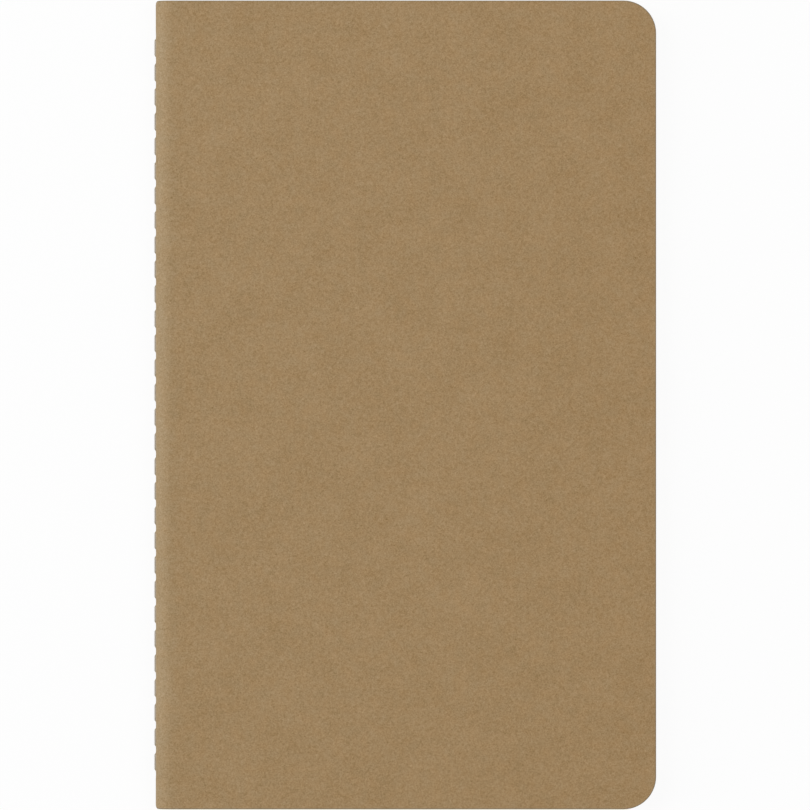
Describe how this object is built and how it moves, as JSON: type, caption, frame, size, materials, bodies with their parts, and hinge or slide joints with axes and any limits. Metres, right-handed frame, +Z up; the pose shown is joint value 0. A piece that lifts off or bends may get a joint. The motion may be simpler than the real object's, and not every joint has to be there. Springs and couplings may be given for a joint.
{
  "type": "notebook",
  "caption": "Thin sewn notebook with a plain kraft card cover, rounded fore-edge corners, leaves that turn at the spine and a pocket inside the back cover.",
  "frame": {"origin": "middle of the closed notebook's footprint, on the surface that its back cover lies on", "axes": "+Y along the spine, +Z up out of the front cover, +X from the spine to the fore edge"},
  "size_m": [0.1304, 0.21, 0.0062],
  "materials": {
    "kraft_card": "uncoated brown kraft card, matt",
    "page_paper": "uncoated ivory writing paper, matt",
    "sewing_thread": "twisted beige thread",
    "glue": "dried glue"
  },
  "bodies": {
    "back_cover": {"back_cover": "kraft_card", "pocket_panel": "kraft_card", "pocket_glue": "glue", "needle_thread": "sewing_thread"},
    "leaf_40": {"leaf_40": "page_paper"},
    "leaf_39": {"leaf_39": "page_paper"},
    "leaf_38": {"leaf_38": "page_paper"},
    "leaf_37": {"leaf_37": "page_paper"},
    "leaf_36": {"leaf_36": "page_paper"},
    "leaf_35": {"leaf_35": "page_paper"},
    "leaf_34": {"leaf_34": "page_paper"},
    "leaf_33": {"leaf_33": "page_paper"},
    "leaf_32": {"leaf_32": "page_paper"},
    "leaf_31": {"leaf_31": "page_paper"},
    "leaf_30": {"leaf_30": "page_paper"},
    "leaf_29": {"leaf_29": "page_paper"},
    "leaf_28": {"leaf_28": "page_paper"},
    "leaf_27": {"leaf_27": "page_paper"},
    "leaf_26": {"leaf_26": "page_paper"},
    "leaf_25": {"leaf_25": "page_paper"},
    "leaf_24": {"leaf_24": "page_paper"},
    "leaf_23": {"leaf_23": "page_paper"},
    "leaf_22": {"leaf_22": "page_paper"},
    "leaf_21": {"leaf_21": "page_paper", "bobbin_thread": "sewing_thread"},
    "leaf_20": {"leaf_20": "page_paper"},
    "leaf_19": {"leaf_19": "page_paper"},
    "leaf_18": {"leaf_18": "page_paper"},
    "leaf_17": {"leaf_17": "page_paper"},
    "leaf_16": {"leaf_16": "page_paper"},
    "leaf_15": {"leaf_15": "page_paper"},
    "leaf_14": {"leaf_14": "page_paper"},
    "leaf_13": {"leaf_13": "page_paper"},
    "leaf_12": {"leaf_12": "page_paper"},
    "leaf_11": {"leaf_11": "page_paper"},
    "leaf_10": {"leaf_10": "page_paper"},
    "leaf_09": {"leaf_09": "page_paper"},
    "leaf_08": {"leaf_08": "page_paper"},
    "leaf_07": {"leaf_07": "page_paper"},
    "leaf_06": {"leaf_06": "page_paper"},
    "leaf_05": {"leaf_05": "page_paper"},
    "leaf_04": {"leaf_04": "page_paper"},
    "leaf_03": {"leaf_03": "page_paper"},
    "leaf_02": {"leaf_02": "page_paper"},
    "leaf_01": {"leaf_01": "page_paper"},
    "front_cover": {"front_cover": "kraft_card"}
  },
  "joints": [
    {"name": "front_cover_opening", "type": "hinge", "parent": "leaf_01", "child": "front_cover", "pos_m": [-0.06501, 0, 0.00312], "axis": [0, -1, 0], "range_deg": [0, 180]},
    {"name": "centre_opening", "type": "hinge", "parent": "leaf_21", "child": "leaf_20", "pos_m": [-0.06501, 0, 0.00312], "axis": [0, -1, 0], "range_deg": [0, 180]},
    {"name": "back_pocket_opening", "type": "hinge", "parent": "back_cover", "child": "leaf_40", "pos_m": [-0.06501, 0, 0.00312], "axis": [0, -1, 0], "range_deg": [0, 180]},
    {"name": "leaf_05_turn", "type": "hinge", "parent": "leaf_06", "child": "leaf_05", "pos_m": [-0.06501, 0, 0.00312], "axis": [0, -1, 0], "range_deg": [0, 180]},
    {"name": "leaf_10_turn", "type": "hinge", "parent": "leaf_11", "child": "leaf_10", "pos_m": [-0.06501, 0, 0.00312], "axis": [0, -1, 0], "range_deg": [0, 180]},
    {"name": "leaf_15_turn", "type": "hinge", "parent": "leaf_16", "child": "leaf_15", "pos_m": [-0.06501, 0, 0.00312], "axis": [0, -1, 0], "range_deg": [0, 180]},
    {"name": "leaf_25_turn", "type": "hinge", "parent": "leaf_26", "child": "leaf_25", "pos_m": [-0.06501, 0, 0.00312], "axis": [0, -1, 0], "range_deg": [0, 180]},
    {"name": "leaf_30_turn", "type": "hinge", "parent": "leaf_31", "child": "leaf_30", "pos_m": [-0.06501, 0, 0.00312], "axis": [0, -1, 0], "range_deg": [0, 180]},
    {"name": "leaf_35_turn", "type": "hinge", "parent": "leaf_36", "child": "leaf_35", "pos_m": [-0.06501, 0, 0.00312], "axis": [0, -1, 0], "range_deg": [0, 180]},
    {"name": "leaf_39_turn", "type": "hinge", "parent": "leaf_40", "child": "leaf_39", "pos_m": [-0.06501, 0, 0.00312], "axis": [0, -1, 0], "range_deg": [0, 180]},
    {"name": "leaf_38_turn", "type": "hinge", "parent": "leaf_39", "child": "leaf_38", "pos_m": [-0.06501, 0, 0.00312], "axis": [0, -1, 0], "range_deg": [0, 180]},
    {"name": "leaf_37_turn", "type": "hinge", "parent": "leaf_38", "child": "leaf_37", "pos_m": [-0.06501, 0, 0.00312], "axis": [0, -1, 0], "range_deg": [0, 180]},
    {"name": "leaf_36_turn", "type": "hinge", "parent": "leaf_37", "child": "leaf_36", "pos_m": [-0.06501, 0, 0.00312], "axis": [0, -1, 0], "range_deg": [0, 180]},
    {"name": "leaf_34_turn", "type": "hinge", "parent": "leaf_35", "child": "leaf_34", "pos_m": [-0.06501, 0, 0.00312], "axis": [0, -1, 0], "range_deg": [0, 180]},
    {"name": "leaf_33_turn", "type": "hinge", "parent": "leaf_34", "child": "leaf_33", "pos_m": [-0.06501, 0, 0.00312], "axis": [0, -1, 0], "range_deg": [0, 180]},
    {"name": "leaf_32_turn", "type": "hinge", "parent": "leaf_33", "child": "leaf_32", "pos_m": [-0.06501, 0, 0.00312], "axis": [0, -1, 0], "range_deg": [0, 180]},
    {"name": "leaf_31_turn", "type": "hinge", "parent": "leaf_32", "child": "leaf_31", "pos_m": [-0.06501, 0, 0.00312], "axis": [0, -1, 0], "range_deg": [0, 180]},
    {"name": "leaf_29_turn", "type": "hinge", "parent": "leaf_30", "child": "leaf_29", "pos_m": [-0.06501, 0, 0.00312], "axis": [0, -1, 0], "range_deg": [0, 180]},
    {"name": "leaf_28_turn", "type": "hinge", "parent": "leaf_29", "child": "leaf_28", "pos_m": [-0.06501, 0, 0.00312], "axis": [0, -1, 0], "range_deg": [0, 180]},
    {"name": "leaf_27_turn", "type": "hinge", "parent": "leaf_28", "child": "leaf_27", "pos_m": [-0.06501, 0, 0.00312], "axis": [0, -1, 0], "range_deg": [0, 180]},
    {"name": "leaf_26_turn", "type": "hinge", "parent": "leaf_27", "child": "leaf_26", "pos_m": [-0.06501, 0, 0.00312], "axis": [0, -1, 0], "range_deg": [0, 180]},
    {"name": "leaf_24_turn", "type": "hinge", "parent": "leaf_25", "child": "leaf_24", "pos_m": [-0.06501, 0, 0.00312], "axis": [0, -1, 0], "range_deg": [0, 180]},
    {"name": "leaf_23_turn", "type": "hinge", "parent": "leaf_24", "child": "leaf_23", "pos_m": [-0.06501, 0, 0.00312], "axis": [0, -1, 0], "range_deg": [0, 180]},
    {"name": "leaf_22_turn", "type": "hinge", "parent": "leaf_23", "child": "leaf_22", "pos_m": [-0.06501, 0, 0.00312], "axis": [0, -1, 0], "range_deg": [0, 180]},
    {"name": "leaf_21_turn", "type": "hinge", "parent": "leaf_22", "child": "leaf_21", "pos_m": [-0.06501, 0, 0.00312], "axis": [0, -1, 0], "range_deg": [0, 180]},
    {"name": "leaf_19_turn", "type": "hinge", "parent": "leaf_20", "child": "leaf_19", "pos_m": [-0.06501, 0, 0.00312], "axis": [0, -1, 0], "range_deg": [0, 180]},
    {"name": "leaf_18_turn", "type": "hinge", "parent": "leaf_19", "child": "leaf_18", "pos_m": [-0.06501, 0, 0.00312], "axis": [0, -1, 0], "range_deg": [0, 180]},
    {"name": "leaf_17_turn", "type": "hinge", "parent": "leaf_18", "child": "leaf_17", "pos_m": [-0.06501, 0, 0.00312], "axis": [0, -1, 0], "range_deg": [0, 180]},
    {"name": "leaf_16_turn", "type": "hinge", "parent": "leaf_17", "child": "leaf_16", "pos_m": [-0.06501, 0, 0.00312], "axis": [0, -1, 0], "range_deg": [0, 180]},
    {"name": "leaf_14_turn", "type": "hinge", "parent": "leaf_15", "child": "leaf_14", "pos_m": [-0.06501, 0, 0.00312], "axis": [0, -1, 0], "range_deg": [0, 180]},
    {"name": "leaf_13_turn", "type": "hinge", "parent": "leaf_14", "child": "leaf_13", "pos_m": [-0.06501, 0, 0.00312], "axis": [0, -1, 0], "range_deg": [0, 180]},
    {"name": "leaf_12_turn", "type": "hinge", "parent": "leaf_13", "child": "leaf_12", "pos_m": [-0.06501, 0, 0.00312], "axis": [0, -1, 0], "range_deg": [0, 180]},
    {"name": "leaf_11_turn", "type": "hinge", "parent": "leaf_12", "child": "leaf_11", "pos_m": [-0.06501, 0, 0.00312], "axis": [0, -1, 0], "range_deg": [0, 180]},
    {"name": "leaf_09_turn", "type": "hinge", "parent": "leaf_10", "child": "leaf_09", "pos_m": [-0.06501, 0, 0.00312], "axis": [0, -1, 0], "range_deg": [0, 180]},
    {"name": "leaf_08_turn", "type": "hinge", "parent": "leaf_09", "child": "leaf_08", "pos_m": [-0.06501, 0, 0.00312], "axis": [0, -1, 0], "range_deg": [0, 180]},
    {"name": "leaf_07_turn", "type": "hinge", "parent": "leaf_08", "child": "leaf_07", "pos_m": [-0.06501, 0, 0.00312], "axis": [0, -1, 0], "range_deg": [0, 180]},
    {"name": "leaf_06_turn", "type": "hinge", "parent": "leaf_07", "child": "leaf_06", "pos_m": [-0.06501, 0, 0.00312], "axis": [0, -1, 0], "range_deg": [0, 180]},
    {"name": "leaf_04_turn", "type": "hinge", "parent": "leaf_05", "child": "leaf_04", "pos_m": [-0.06501, 0, 0.00312], "axis": [0, -1, 0], "range_deg": [0, 180]},
    {"name": "leaf_03_turn", "type": "hinge", "parent": "leaf_04", "child": "leaf_03", "pos_m": [-0.06501, 0, 0.00312], "axis": [0, -1, 0], "range_deg": [0, 180]},
    {"name": "leaf_02_turn", "type": "hinge", "parent": "leaf_03", "child": "leaf_02", "pos_m": [-0.06501, 0, 0.00312], "axis": [0, -1, 0], "range_deg": [0, 180]},
    {"name": "leaf_01_turn", "type": "hinge", "parent": "leaf_02", "child": "leaf_01", "pos_m": [-0.06501, 0, 0.00312], "axis": [0, -1, 0], "range_deg": [0, 180]}
  ]
}
